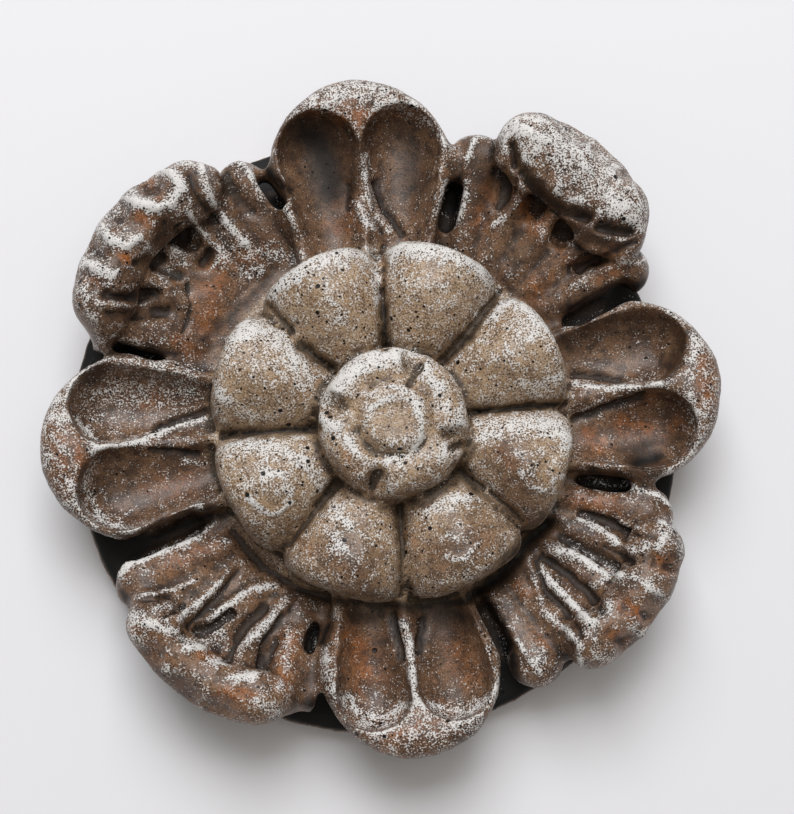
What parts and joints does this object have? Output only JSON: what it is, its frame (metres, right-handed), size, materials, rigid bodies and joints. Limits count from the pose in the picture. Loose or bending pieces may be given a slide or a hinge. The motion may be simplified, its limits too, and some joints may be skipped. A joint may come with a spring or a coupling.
{
  "type": "decorative rosette",
  "caption": "Round cast wall rosette with cupped petals, fluted leaves, a ring of beads and a lobed boss on a flat back",
  "frame": {"origin": "middle of the flat back", "axes": "+Z out of the flower, away from the wall; +Y towards the upper cupped petal; +X towards the right cupped petal"},
  "size_m": [0.1582, 0.1593, 0.0381],
  "materials": {
    "cast_cement": "satin"
  },
  "bodies": {
    "root": {"rosette": "cast_cement"}
  },
  "joints": []
}
